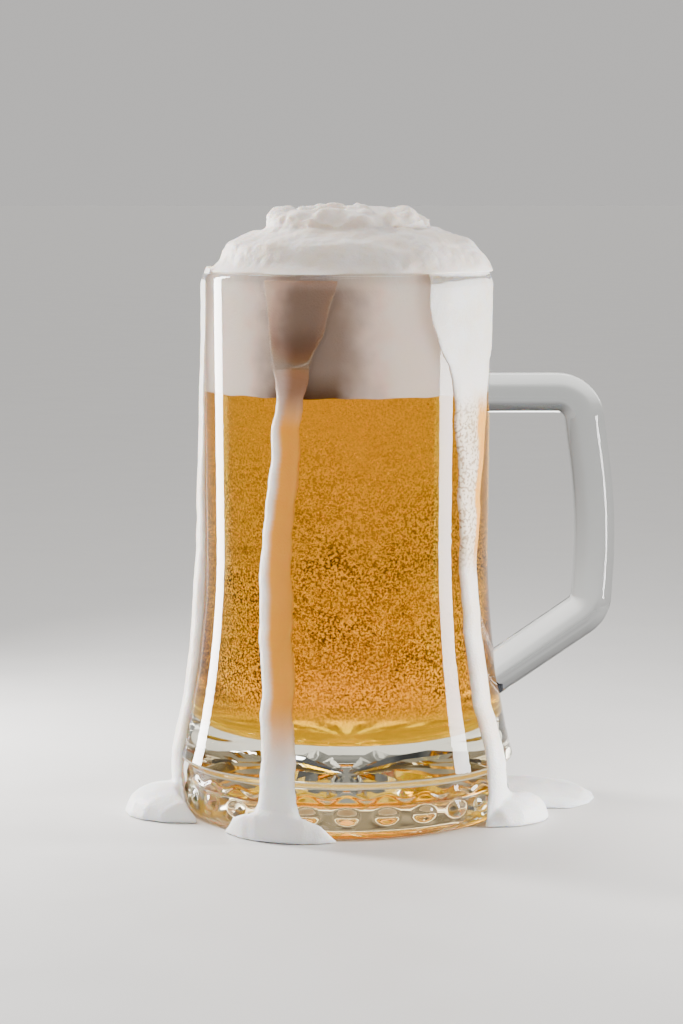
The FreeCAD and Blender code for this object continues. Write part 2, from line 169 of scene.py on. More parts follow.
def only(obj):
    """Makes one object the active and only selected one."""
    deselect()
    obj.select_set(True)
    bpy.context.view_layer.objects.active = obj


def new_object(name, mesh):
    """Puts a mesh into the scene as the active object."""
    obj = bpy.data.objects.new(name, mesh)
    bpy.context.scene.collection.objects.link(obj)
    only(obj)
    return obj


def mesh_object(name, points, faces=(), edges=()):
    """Makes an object from points with faces or edges."""
    mesh = bpy.data.meshes.new(name)
    mesh.from_pydata([tuple(p) for p in points], list(edges), list(faces))
    mesh.update()
    return new_object(name, mesh)


def edit_all():
    """Enters edit mode with everything selected."""
    bpy.ops.object.mode_set(mode="EDIT")
    bpy.ops.mesh.select_all(action="SELECT")


def apply_modifier(obj, kind, **settings):
    """Adds a modifier with its settings and applies it."""
    only(obj)
    modifier = obj.modifiers.new(kind.title(), kind)
    for key, value in settings.items():
        setattr(modifier, key, value)
    bpy.ops.object.modifier_apply(modifier=modifier.name)


def tidy_mesh(obj, distance=0.00001, recalculate=True):
    """Merges doubles and turns the faces outwards."""
    only(obj)
    edit_all()
    bpy.ops.mesh.remove_doubles(threshold=distance)
    bpy.ops.mesh.dissolve_degenerate(threshold=distance)
    if recalculate:
        bpy.ops.mesh.normals_make_consistent(inside=False)
    bpy.ops.object.mode_set(mode="OBJECT")


def shade(obj, angle=None):
    """Shades an object smooth, or smooth only across edges flatter than the angle in degrees."""
    only(obj)
    if angle is None:
        bpy.ops.object.shade_smooth()
    else:
        bpy.ops.object.shade_smooth_by_angle(angle=math.radians(angle))


def finish_piece(obj, name, slot, material, *nodes):
    """Names a piece, gives it its one material and its body, and hides the nodes it stands for. The slot
    argument is not used.
    """
    obj.name = name
    obj.data.name = name
    obj.data.materials.clear()
    obj.data.materials.append(material)
    for polygon in obj.data.polygons:
        polygon.material_index = 0
    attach(obj, BODY)
    if nodes:
        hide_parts(*nodes)
    return obj


def cad_copy(node, name):
    """A merged copy of a node's mesh, to be worked into a finished piece."""
    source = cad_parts[node]
    mesh = source.data.copy()
    mesh.transform(source.matrix_world)
    obj = new_object(name, mesh)
    tidy_mesh(obj, recalculate=False)
    return obj


def spin_outline(name, outline, steps):
    """Spins an outline of (radius, height) points all round the mug's axis into a closed shell."""
    points = [(max(r, 0.0), 0.0, z) for r, z in outline]
    edges = [(i, i + 1) for i in range(len(points) - 1)]
    obj = mesh_object(name, points, edges=edges)
    edit_all()
    bpy.ops.mesh.spin(steps=steps, angle=2.0 * math.pi, center=(0, 0, 0), axis=(0, 0, 1))
    bpy.ops.object.mode_set(mode="OBJECT")
    tidy_mesh(obj, distance=0.000002)
    return obj


def rounded_path(points, radii, steps=7):
    """The points of a bent line whose inner corners are rounded with the given radii."""
    path = [points[0]]
    for i in range(1, len(points) - 1):
        here = Vector(points[i])
        back = (Vector(points[i - 1]) - here).normalized()
        ahead = (Vector(points[i + 1]) - here).normalized()
        half_angle = math.acos(max(-1.0, min(1.0, back.dot(ahead)))) / 2.0
        radius = radii[i - 1]
        tangent = radius / math.tan(half_angle)
        start = here + back * tangent
        end = here + ahead * tangent
        centre = here + (back + ahead).normalized() * (radius / math.sin(half_angle))
        first = start - centre
        last = end - centre
        turn = first.angle(last)
        for k in range(steps + 1):
            share = k / steps
            mixed = first * math.sin((1.0 - share) * turn) + last * math.sin(share * turn)
            path.append(tuple(centre + mixed / math.sin(turn)))
    path.append(points[-1])
    return path


def dense(points, spacing):
    """The same line with points no further apart than spacing(point) says."""
    line = [points[0]]
    for a, b in zip(points, points[1:]):
        length = math.hypot(b[0] - a[0], b[1] - a[1])
        middle = ((a[0] + b[0]) / 2.0, (a[1] + b[1]) / 2.0)
        count = max(1, math.ceil(length / spacing(middle)))
        for k in range(1, count + 1):
            line.append((a[0] + (b[0] - a[0]) * k / count, a[1] + (b[1] - a[1]) * k / count))
    return line


# ---- Materials ----

def set_stops(node, stops):
    """Gives a colour ramp its (place, colour) stops."""
    elements = node.color_ramp.elements
    while len(elements) < len(stops):
        elements.new(1.0)
    for element, (spot, colour) in zip(elements, stops):
        element.position = spot
        element.color = (*colour, 1.0)


def scaled(colour, *shares):
    """A colour with each of its channels scaled by its own share."""
    return tuple(c * s for c, s in zip(colour, shares))


class Nodes:
    """A short way to write a node material: every call adds a node and links what it is given."""

    def __init__(self, name):
        self.material = bpy.data.materials.new(name)
        self.material.use_nodes = True
        self.tree = self.material.node_tree
        self.tree.nodes.clear()
        self.output = self.tree.nodes.new("ShaderNodeOutputMaterial")
        self.place = self.add("ShaderNodeTexCoord").outputs["Object"]

    def add(self, kind, settings=None, **inputs):
        node = self.tree.nodes.new(kind)
        for key, value in (settings or {}).items():
            setattr(node, key, value)
        for key, value in inputs.items():
            self.put(node, key.replace("_", " "), value)
        return node

    def put(self, node, key, value):
        socket = node.inputs[int(key)] if key.isdigit() else node.inputs[key]
        if isinstance(value, bpy.types.NodeSocket):
            self.tree.links.new(value, socket)
        else:
            socket.default_value = value

    def noise(self, scale, detail=3.0, roughness=0.55):
        """Cloudy noise over the object."""
        return self.add("ShaderNodeTexNoise", Vector=self.place, Scale=scale, Detail=detail,
                        Roughness=roughness).outputs["Fac"]

    def cells(self, scale):
        """How far each place lies from the nearest of many scattered points."""
        return self.add("ShaderNodeTexVoronoi", Vector=self.place, Scale=scale).outputs["Distance"]

    def ramp(self, value, *stops):
        """A value turned into a colour by a ramp of (place, colour) stops."""
        node = self.add("ShaderNodeValToRGB", Fac=value)
        set_stops(node, stops)
        return node.outputs["Color"]

    def reach(self, value, low, high, to_low=0.0, to_high=1.0):
        """A value remapped from one range to another, smoothly and clamped."""
        return self.add("ShaderNodeMapRange", {"interpolation_type": "SMOOTHSTEP"}, Value=value, From_Min=low,
                        From_Max=high, To_Min=to_low, To_Max=to_high).outputs["Result"]

    def math(self, operation, a, b=0.5):
        """One step of arithmetic on two values."""
        node = self.add("ShaderNodeMath", {"operation": operation})
        self.put(node, "0", a)
        self.put(node, "1", b)
        return node.outputs["Value"]

    def product(self, first, *others):
        """Values multiplied together."""
        for value in others:
            first = self.math("MULTIPLY", first, value)
        return first

    def uneven(self, value, scale, amount):
        """A value shifted to and fro by noise."""
        return self.math("ADD", value, self.product(self.math("SUBTRACT", self.noise(scale), 0.5), amount))

    def mix(self, share, a, b):
        """Colour a, turned into colour b by a share."""
        node = self.add("ShaderNodeMix", {"data_type": "RGBA"})
        for key, value in (("0", share), ("6", a), ("7", b)):
            self.put(node, key, (*value, 1.0) if isinstance(value, tuple) else value)
        return node.outputs[2]

    def axis(self, name):
        """One coordinate of the place on the object."""
        return self.add("ShaderNodeSeparateXYZ", Vector=self.place).outputs[name]

    def attribute(self, name):
        """A value stored with the mesh."""
        return self.add("ShaderNodeAttribute", {"attribute_name": name}).outputs["Fac"]

    def bump(self, height, distance, strength, normal=None):
        """Relief in the shading, on top of any relief given as normal."""
        node = self.add("ShaderNodeBump", Height=height, Strength=strength, Distance=distance)
        if normal is not None:
            self.tree.links.new(normal, node.inputs["Normal"])
        return node.outputs["Normal"]

    def absorb(self, colour, density):
        """Makes the inside take up light, so that it deepens with its thickness."""
        node = self.add("ShaderNodeVolumeAbsorption", Color=(*colour, 1.0), Density=density)
        self.tree.links.new(node.outputs[0], self.output.inputs["Volume"])

    def surface(self, **inputs):
        """The one surface shader, and the finished material."""
        shader = self.add("ShaderNodeBsdfPrincipled", **inputs)
        self.tree.links.new(shader.outputs[0], self.output.inputs["Surface"])
        return self.material


def glass_material(tint):
    """Clear pressed glass: faintly wavy and uneven, painted amber in the foot as painted light, and greyer
    where it is thick.
    """
    n = Nodes("pressed_glass")
    waves = n.noise(38.0, detail=1.0)
    polish = n.reach(n.noise(160.0), 0.35, 0.75, 0.0, 0.02)
    colour = n.mix(n.noise(20.0, detail=1.0), (0.985, 0.99, 0.99), tuple(tint))
    # Painted light: the foot is painted amber, standing in for the beer's golden light seen through the thick
    # foot.
    amber_above, amber_below = 24.0 * MM, 16.0 * MM
    foot = n.reach(n.axis("Z"), amber_above, amber_below, 0.0, 0.9)
    colour = n.mix(foot, colour, (1.0, 0.86, 0.60))
    n.surface(Base_Color=colour, Roughness=polish, IOR=1.5, Transmission_Weight=1.0,
              Specular_Tint=(0.28, 0.28, 0.28, 1.0), Normal=n.bump(waves, 0.00008, 0.6))
    n.absorb((0.50, 0.56, 0.54), 8.0)
    return n.material


def beer_material(colour, density):
    """Golden beer, deeper where it is thicker, flecked with painted bubble glints and dark rims, clear near
    the floor, and glowing with painted light that is strongest just above the floor.
    """
    n = Nodes("golden_beer")
    height = n.axis("Z")
    clear_top = FLOOR_HEIGHT + 20.0 * MM
    low = n.reach(height, FLOOR_HEIGHT + 3.0 * MM, FLOOR_HEIGHT + 16.0 * MM)
    high = n.reach(height, BEER_LEVEL - 4.0 * MM, BEER_LEVEL - 52.0 * MM, 0.25, 1.0)
    patch = n.reach(n.noise(55.0, detail=2.0), 0.3, 0.7, 0.55, 1.0)
    crowd = n.product(low, high, patch)
    # Painted light: the bright flecks are painted glints and the dark flecks painted dark rims, as bubbles
    # show them.
    flecks = n.noise(1500.0, detail=1.5, roughness=0.6)
    dark = n.product(n.reach(flecks, 0.50, 0.56), crowd)
    bright = n.product(n.reach(flecks, 0.46, 0.40), crowd)
    tint = n.mix(n.noise(30.0, detail=2.0), (0.84, 0.74, 0.06), (0.80, 0.68, 0.04))
    # Painted light: just above the floor the beer is painted as glowing brighter.
    glow = n.reach(height, FLOOR_HEIGHT + 2.0 * MM, clear_top, 1.0, 0.0)
    deep = n.reach(height, FLOOR_HEIGHT + 62.0 * MM, clear_top)
    tint = n.mix(deep, tint, (0.58, 0.44, 0.01))
    tint = n.mix(glow, tint, (0.62, 0.43, 0.0))
    tint = n.mix(dark, tint, (0.004, 0.0008, 0.0))
    tint = n.mix(bright, tint, (1.0, 0.90, 0.10))
    # Painted light: an emission makes the beer glow though it is no lamp, strongest just above the floor,
    # dark at the dark flecks and brightest at the glints.
    painted_glow = n.mix(deep, (1.05, 0.46, 0.0), (0.50, 0.19, 0.0))
    painted_glow = n.mix(glow, painted_glow, (1.5, 0.86, 0.0))
    painted_glow = n.mix(dark, painted_glow, (0.0, 0.0, 0.0))
    painted_glow = n.mix(bright, painted_glow, n.mix(deep, (1.9, 0.86, 0.0), (1.5, 0.66, 0.0)))
    n.surface(Base_Color=tint, Roughness=0.0, IOR=1.34, Transmission_Weight=1.0,
              Specular_Tint=(0.0, 0.0, 0.0, 1.0), Emission_Color=painted_glow, Emission_Strength=0.22,
              Normal=n.bump(flecks, 0.00006, 0.5))
    n.absorb(colour, density)
    return n.material


def bubble_material(name, dark, pale, glow):
    """Gas bubbles: each catches the light differently, so their painted tone changes from place to place,
    from painted dark rims to painted glints, and glow makes them shine with painted light though they are no
    lamp.
    """
    n = Nodes(name)
    palest = tuple(min(c * 1.3, 1.0) for c in pale)
    tone = n.ramp(n.noise(1400.0, detail=0.0), (0.38, dark), (0.5, pale), (0.62, palest))
    return n.surface(Base_Color=tone, Roughness=n.reach(n.noise(700.0), 0.3, 0.7, 0.08, 0.3),
                     Specular_IOR_Level=0.12, Emission_Color=tone, Emission_Strength=glow)


def foam_in_glass(n, tone):
    """Foam behind the glass is warmer, and painted brown a little left of the front, as painted shade."""
    height = n.axis("Z")
    inside = n.reach(height, MUG_HEIGHT + 0.5 * MM, MUG_HEIGHT - 5.0 * MM)
    tone = n.mix(inside, tone, n.mix(0.75, tone, (1.0, 0.77, 0.65)))
    # Painted shade: a brown patch on the foam a little left of the front, weaker above the beer line.
    across = n.uneven(n.axis("X"), 60.0, 0.02)
    left = n.reach(across, -30.0 * MM, -15.0 * MM)
    right = n.reach(across, 15.0 * MM, -4.0 * MM)
    front = n.reach(n.axis("Y"), -22.0 * MM, -33.0 * MM)
    painted_shade = n.product(n.product(left, right), n.product(front, inside))
    low = n.reach(height, BEER_LEVEL - 1.0 * MM, BEER_LEVEL + 9.0 * MM, 1.0, 0.75)
    painted_shade = n.product(painted_shade, low)
    return n.mix(painted_shade, tone, (0.10, 0.04, 0.008))


def foam_material(name, colour, wet, grain, thin, lit, lit_from, lit_to):
    """Beer foam: a soft light-spreading mass of fine bubbles, mottled cream, with a few larger ones.

    The thin function tints it where it is thin and, on some pieces, paints shade on it; lit is a faint
    painted glow between two heights, painted light that stands in for lamp light reaching the foam through
    the glass.
    """
    n = Nodes(name)
    fine = n.cells(1.0 / (grain * 0.9))
    medium = n.cells(1.0 / (grain * 2.6))
    cloud = n.noise(90.0, detail=4.0)
    tone = n.mix(n.reach(cloud, 0.35, 0.72), colour, scaled(colour, 0.97, 0.90, 0.80))
    # Painted shade: the fine bubbles' pits and the few larger bubbles are painted darker and warmer, as shade
    # falling in their hollows.
    pits = n.reach(fine, 0.0, 0.42, 1.0, 0.0)
    tone = n.mix(n.product(pits, 0.35), tone, scaled(colour, 0.86, 0.76, 0.62))
    big = n.reach(medium, 0.0, 0.2, 1.0, 0.0)
    rare = n.reach(n.noise(420.0, detail=1.0), 0.56, 0.64)
    big = n.product(big, rare)
    tone = n.mix(n.product(big, 0.45), tone, scaled(colour, 0.72, 0.58, 0.42))
    tone = thin(n, tone)
    # Painted light: the foam glows faintly between two heights, though it is no lamp.
    inside = n.reach(n.axis("Z"), lit_from, lit_to) if lit else 0.0
    painted_glow_colour = n.mix(inside, (0.0, 0.0, 0.0), tone)
    height = n.math("ADD", n.product(fine, 0.7), n.product(cloud, 0.8))
    shape = n.bump(height, grain * 0.35, 0.5)
    shape = n.bump(big, grain * 0.8, -0.5, shape)
    rough = n.reach(n.noise(260.0), 0.3, 0.7, 0.62 - 0.4 * wet, 0.78 - 0.45 * wet)
    return n.surface(Base_Color=tone, Roughness=rough, Subsurface_Weight=0.75,
                     Subsurface_Radius=(1.0, 0.72, 0.45), Subsurface_Scale=0.0022,
                     Coat_Weight=0.05 * wet, Coat_Roughness=0.15, Specular_IOR_Level=0.22,
                     Emission_Color=painted_glow_colour, Emission_Strength=lit, Normal=shape)


def floor_material(colour):
    """A pale matt floor, faintly mottled, and painted darker far out to either side as painted shade."""
    n = Nodes("pale_floor")
    tone = n.mix(n.noise(9.0), colour, scaled(colour, 0.96, 0.96, 0.96))
    # Painted shade: far out to either side the floor is painted darker, for the glass to reflect as dark
    # bands.
    sideways = n.math("ABSOLUTE", n.axis("X"))
    aside = n.math("DIVIDE", sideways, n.math("ADD", n.math("ABSOLUTE", n.axis("Y")), 1.0))
    tone = n.mix(n.reach(aside, 0.30, 0.75), tone, scaled(colour, 0.60, 0.60, 0.60))
    return n.surface(Base_Color=tone, Roughness=n.reach(n.noise(30.0), 0.3, 0.7, 0.45, 0.55),
                     Normal=n.bump(n.noise(600.0), 0.0001, 0.2))


# ---- Settings shown in the sidebar ----

class MugOfBeerGlass(bpy.types.PropertyGroup):
    beads: bpy.props.IntProperty(name="Beads", description="Beads round the foot", default=26, min=8)
    rays: bpy.props.IntProperty(name="Star rays", description="Cut rays under the foot", default=18, min=6)
    bead_proud: bpy.props.FloatProperty(
        name="Bead height", description="How far a bead stands out", default=0.75 * MM,
        unit="LENGTH", subtype="DISTANCE")
    ledge_depth: bpy.props.FloatProperty(
        name="Ledge depth", description="How far the band above the scalloped ledge is set back",
        default=0.5 * MM, unit="LENGTH", subtype="DISTANCE")
    ray_depth: bpy.props.FloatProperty(
        name="Ray depth", description="How deep the star's rays are cut", default=3.0 * MM,
        unit="LENGTH", subtype="DISTANCE")
    handle_thickness: bpy.props.FloatProperty(
        name="Handle thickness", description="Thickness of the handle's bar", default=11.5 * MM,
        unit="LENGTH", subtype="DISTANCE")
    handle_width: bpy.props.FloatProperty(
        name="Handle width", description="Width of the handle's bar", default=15.0 * MM,
        unit="LENGTH", subtype="DISTANCE")
    tint: bpy.props.FloatVectorProperty(
        name="Tint", description="Colour of the glass", default=(0.93, 0.97, 0.97), size=3,
        subtype="COLOR", min=0.0, max=1.0)


class MugOfBeerDrink(bpy.types.PropertyGroup):
    colour: bpy.props.FloatVectorProperty(
        name="Beer colour", description="Colour that the beer lets through", default=(0.972, 0.800, 0.0),
        size=3, subtype="COLOR", min=0.0, max=1.0)
    density: bpy.props.FloatProperty(
        name="Depth of colour", description="How fast the beer deepens with its thickness",
        default=66.0, min=0.0)
    bubbles: bpy.props.IntProperty(
        name="Bubbles", description="Bubbles of each kind in the beer", default=12000, min=0, max=24000)
    bubble_size: bpy.props.FloatProperty(
        name="Bubble size", description="Radius of a middling bubble", default=0.17 * MM,
        unit="LENGTH", subtype="DISTANCE")


class MugOfBeerFoam(bpy.types.PropertyGroup):
    colour: bpy.props.FloatVectorProperty(
        name="Foam colour", description="Colour of the foam", default=(0.90, 0.835, 0.795), size=3,
        subtype="COLOR", min=0.0, max=1.0)
    grain: bpy.props.FloatProperty(
        name="Grain", description="Size of the finest bubbles", default=0.7 * MM,
        unit="LENGTH", subtype="DISTANCE")
    lumps: bpy.props.IntProperty(name="Lumps", description="Lumps on the crown", default=120, min=0)
    detail: bpy.props.FloatProperty(
        name="Detail", description="Size of the finest relief in the foam's shape", default=0.56 * MM,
        unit="LENGTH", subtype="DISTANCE")


# ---- The glass ----

def glass_outline():
    """The wall's outline from under the middle of the foot, up the outside and down to the floor's middle."""
    band = SHOULDER_RADIUS - BAND_SETBACK
    foot_edge = band - FOOT_ROUND
    ring_in = foot_edge - FOOT_RING_WIDTH
    recess = ring_in - RECESS_LEAN
    step_low = SHOULDER_HEIGHT - SHOULDER_ROUND * 1.6
    low = SHOULDER_HEIGHT + 3.0 * MM
    outside = rounded_path(
        [(0.0, RECESS_DEPTH), (recess, RECESS_DEPTH), (ring_in, 0.0), (band, 0.0), (band, step_low),
         (SHOULDER_RADIUS + 0.25 * MM, SHOULDER_HEIGHT - 0.4 * MM), (outer_radius(low), low)],
        [2.5 * MM, 1.2 * MM, FOOT_ROUND, 1.0 * MM, 0.9 * MM])
    for k in range(1, WAIST_STEPS + 1):
        height = low + (WAIST_HEIGHT - low) * k / WAIST_STEPS
        outside.append((outer_radius(height), height))
    rim_round = WALL / 2.0
    rim_low = MUG_HEIGHT - rim_round
    crest = outer_radius(rim_low) - rim_round
    outside.append((outer_radius(rim_low), rim_low))
    for k in range(1, RIM_STEPS + 1):
        turn = math.pi * k / RIM_STEPS
        outside.append((crest + rim_round * math.cos(turn), rim_low + rim_round * math.sin(turn)))
    corner_top = FLOOR_HEIGHT + FLOOR_CORNER
    side_low = inner_radius(corner_top)
    outside.append((inner_radius(WAIST_HEIGHT), WAIST_HEIGHT))
    for k in range(CORNER_STEPS + 1):
        turn = math.pi / 2.0 * k / CORNER_STEPS
        outside.append((side_low - FLOOR_CORNER + FLOOR_CORNER * math.cos(turn),
                        corner_top - FLOOR_CORNER * math.sin(turn)))
    outside.append((0.0, FLOOR_HEIGHT))

    def spacing(point):
        """Fine on the pressed band, less so under the foot, and wide up the wall."""
        r, z = point
        if r > band - 3.0 * MM and z < SHOULDER_HEIGHT:
            return BAND_STEP
        return FOOT_STEP if z < 0.5 * FLOOR_HEIGHT else WALL_STEP

    return dense(outside, spacing)


def press_foot(obj, s):
    """Presses the beads and their scalloped ledge into the foot's band and cuts the star under it."""
    band_inside = SHOULDER_RADIUS - BAND_SETBACK - 4.0 * MM
    band_top = SHOULDER_HEIGHT - 1.2 * MM
    skin = 0.01 * MM
    bead_step = 2.0 * math.pi / s.beads
    bead_height = 7.0 * MM
    bead_half = (3.9 * MM, 2.5 * MM)
    ledge_height = 12.2 * MM
    ledge_wave = 0.8 * MM
    ledge_fade = 1.0 * MM
    ray_start = 2.0 * MM
    ray_length = 32.0 * MM
    ray_half = 1.9 * MM
    ray_widest = 0.6
    ray_step = 2.0 * math.pi / s.rays
    for vertex in obj.data.vertices:
        x, y, z = vertex.co
        radius = math.hypot(x, y)
        turn = math.atan2(x, -y)
        if radius > band_inside and z < band_top:
            side = ((turn / bead_step + 0.5) % 1.0 - 0.5) * bead_step * radius
            near = (side / bead_half[0]) ** 2 + ((z - bead_height) / bead_half[1]) ** 2
            move = s.bead_proud * (1.0 - near) ** 1.5 if near < 1.0 else 0.0
            ledge = ledge_height + ledge_wave * math.cos(turn / bead_step * 2.0 * math.pi)
            move += s.ledge_depth * (smooth((ledge - z) / ledge_fade + 0.5) - 1.0)
            vertex.co.x += x / radius * move
            vertex.co.y += y / radius * move
        elif z < RECESS_DEPTH + skin and ray_start < radius < ray_start + ray_length:
            along = (radius - ray_start) / ray_length
            swell = along / ray_widest if along < ray_widest else (1.0 - along) / (1.0 - ray_widest)
            offset = abs((turn / ray_step) % 1.0 - 0.5) * ray_step * radius
            half = ray_half * swell
            if z > RECESS_DEPTH - skin and half > 0.0 and offset < half:
                vertex.co.z += s.ray_depth * min(swell * 1.6, 1.0) * (1.0 - offset / half)


def handle_object(s):
    """The handle, modelled with mesh operators: a bevelled section pulled straight and spun round its bends.
    """
    half = s.handle_thickness / 2.0
    grip = HANDLE_REACH - half
    top = HANDLE_TOP - half
    root = WAIST_RADIUS - WALL * 0.45
    heel = grip - HANDLE_HEEL_INSET
    drop = (heel - root) * math.tan(HANDLE_HEEL_SLOPE)
    corners = [Vector(corner) for corner in (
        (root, top), (grip - HANDLE_TOP_INSET, top), (grip + HANDLE_BELLY, HANDLE_BELLY_HEIGHT),
        (heel, HANDLE_HEEL_HEIGHT), (root, HANDLE_HEEL_HEIGHT - drop))]
    radii = [HANDLE_BEND, HANDLE_GRIP_BEND, HANDLE_BEND]
    steps = [10, 12, 10]
    deselect()
    bpy.ops.mesh.primitive_plane_add(
        size=1.0, location=(root, 0.0, top), rotation=(0.0, math.pi / 2.0, 0.0))
    bar = bpy.context.object
    bar.scale = (s.handle_thickness, s.handle_width, 1.0)
    bpy.ops.object.transform_apply(location=True, rotation=True, scale=True)
    edit_all()
    for offset, segments in ((HANDLE_CHAMFER, 1), (HANDLE_SOFTENING, 3)):
        bpy.ops.mesh.bevel(offset=offset, segments=segments, affect="VERTICES")
        bpy.ops.mesh.select_all(action="SELECT")
    place = corners[0]
    for i in range(1, len(corners)):
        ahead = (corners[i] - corners[i - 1]).normalized()
        last = i == len(corners) - 1
        tangent = 0.0
        if not last:
            after = (corners[i + 1] - corners[i]).normalized()
            turn = ahead.angle(after)
            tangent = radii[i - 1] * math.tan(turn / 2.0)
        goal = corners[i] - ahead * tangent
        move = goal - place
        bpy.ops.mesh.extrude_region_move(TRANSFORM_OT_translate={"value": (move.x, 0.0, move.y)})
        place = goal
        if not last:
            side = Vector((ahead.y, -ahead.x))
            centre = place + side * radii[i - 1]
            bpy.ops.mesh.spin(steps=steps[i - 1], angle=-turn, center=(centre.x, 0.0, centre.y),
                              axis=(0, 1, 0))
            place = corners[i] + after * tangent
    bpy.ops.object.mode_set(mode="OBJECT")
    tidy_mesh(bar)
    return bar


def make_glass(s):
    """The mug: its outline spun round, the foot pressed and the handle joined on."""
    mug = spin_outline("mug_glass", glass_outline(), s.beads * s.rays)
    press_foot(mug, s)
    bar = handle_object(s)
    apply_modifier(mug, "BOOLEAN", operation="UNION", solver="EXACT", object=bar)
    bpy.data.objects.remove(bar)
    shade(mug, 32.0)
    return finish_piece(mug, "mug_glass", "glass", glass_material(s.tint), "glass_mug")


# ---- The beer and its bubbles ----

def make_beer(s):
    """The beer: it reaches just into the glass and a little way up into the foam."""
    corner_top = FLOOR_HEIGHT + FLOOR_CORNER
    side_low = inner_radius(corner_top) + SEAT
    corner = FLOOR_CORNER + SEAT
    outline = [(0.0, FLOOR_HEIGHT - SEAT)]
    for k in range(BEER_CORNER_STEPS + 1):
        turn = math.pi / 2.0 * (1.0 - k / BEER_CORNER_STEPS)
        outline.append((side_low - corner + corner * math.cos(turn), corner_top - corner * math.sin(turn)))
    outline.append((inner_radius(WAIST_HEIGHT) + SEAT, WAIST_HEIGHT))
    level = BEER_LEVEL + BEER_LAP
    outline.append((inner_radius(level) + SEAT, level))
    outline.append((0.0, level))
    outline = dense(outline, lambda point: WALL_STEP)
    beer = spin_outline("beer_fill", outline, 200)
    shade(beer, 40.0)
    return finish_piece(beer, "beer_fill", "beer", beer_material(tuple(s.colour), s.density), "beer")


def scatter_bubbles(name, places, material, slot):
    """One piece of many small bubbles, each a smooth ball of eight faces."""
    deselect()
    bpy.ops.mesh.primitive_uv_sphere_add(segments=4, ring_count=2, radius=1.0, location=(0, 0, 0))
    ball = bpy.context.object
    shape = [v.co.copy() for v in ball.data.vertices]
    faces = [tuple(p.vertices) for p in ball.data.polygons]
    bpy.data.objects.remove(ball)
    points = []
    all_faces = []
    for centre, radius in places:
        first = len(points)
        points.extend(centre + v * radius for v in shape)
        all_faces.extend(tuple(first + i for i in face) for face in faces)
    obj = mesh_object(name, points, all_faces)
    shade(obj)
    return finish_piece(obj, name, slot, material)


def wall_place(turn, height, inward):
    """A place in the beer, a given way in from the inside of the wall."""
    corner_top = FLOOR_HEIGHT + FLOOR_CORNER
    wall = inner_radius(max(height, corner_top))
    if height < corner_top:
        drop = (corner_top - height) / FLOOR_CORNER
        wall -= FLOOR_CORNER * (1.0 - math.sqrt(max(1.0 - drop * drop, 0.0)))
    r = wall - inward
    return Vector((r * math.sin(turn), -r * math.cos(turn), height))


def beer_places(count, size, seed, low, high, deepest):
    """Bubbles through the beer, most of them close inside the wall and crowded low down."""
    rng = random.Random(seed)
    places = []
    while len(places) < count:
        share = rng.random()
        height = low + (high - low) * share
        crowd = smooth((share - 0.02) / 0.16) * (1.0 - 0.55 * smooth((share - 0.35) / 0.6))
        turn = rng.random() * 2.0 * math.pi
        drift = noise.noise(Vector((math.sin(turn) * 2.2, math.cos(turn) * 2.2, height * 45.0)))
        if rng.random() > crowd * (0.75 + 0.7 * drift):
            continue
        swell = 1.15 - 0.45 * share
        radius = size * swell * (0.6 + 0.8 * rng.random() ** 2)
        inward = radius + 0.12 * MM + deepest * rng.random() ** 2.2
        places.append((wall_place(turn, height, inward), radius))
    return places


def make_bubbles(s):
    """Three kinds of bubbles: (name, share, scale, seed, deepest, dark, pale, glow)."""
    low = FLOOR_HEIGHT + 3.0 * MM
    high = BEER_LEVEL - 0.6 * MM
    # The dark kind is painted as the dark rims of bubbles; the bright and coarse kinds mix painted glints
    # with a painted glow.
    kinds = (
        ("bubbles_dark", 1.0, 1.0, 11, 5.0 * MM, (0.05, 0.014, 0.0), (0.14, 0.045, 0.001), 0.0),
        ("bubbles_bright", 0.8, 0.9, 23, 6.0 * MM, (0.80, 0.36, 0.01), (1.0, 0.56, 0.03), 0.7),
        ("bubbles_coarse", 0.12, 1.7, 37, 12.0 * MM, (0.12, 0.035, 0.001), (1.0, 0.56, 0.05), 0.25),
    )
    for name, share, scale, seed, deepest, dark, pale, glow in kinds:
        places = beer_places(int(s.bubbles * share), s.bubble_size * scale, seed, low, high, deepest)
        scatter_bubbles(name, places, bubble_material(name, dark, pale, glow), "beer")


# ---- The foam ----

def crown_lumps(s, head):
    """Places for the crown's lumps: (centre, radius), set on the head's own surface."""
    rng = random.Random(5)
    lumps = []
    for i in range(s.lumps):
        turn = i * GOLDEN_ANGLE + 0.35 * rng.random()
        if i % 3 == 0:
            distance = CROWN_RING * (0.88 + 0.2 * rng.random())
            radius = (2.1 + 2.3 * rng.random()) * MM
            sink = 0.55
        elif i % 3 == 1:
            distance = CROWN_RING * math.sqrt(rng.random())
            radius = (2.0 + 3.0 * rng.random() ** 2) * MM
            sink = 0.6
        else:
            distance = CROWN_RING + 15.0 * MM * rng.random()
            radius = (1.8 + 2.6 * rng.random()) * MM
            sink = 0.86
        start = Vector((distance * math.sin(turn), -distance * math.cos(turn), HEAD_TOP + 0.02))
        hit, spot, normal, _ = head.ray_cast(start, Vector((0, 0, -1)))
        if hit:
            lumps.append((spot - normal * radius * sink, radius))
    return lumps


def along(points, spot):
    """A value read off a line of (place, value) points, straight between them."""
    if spot <= points[0][0]:
        return points[0][1]
    for (a, value_a), (b, value_b) in zip(points, points[1:]):
        if spot <= b:
            return value_a + (value_b - value_a) * (spot - a) / (b - a)
    return points[-1][1]


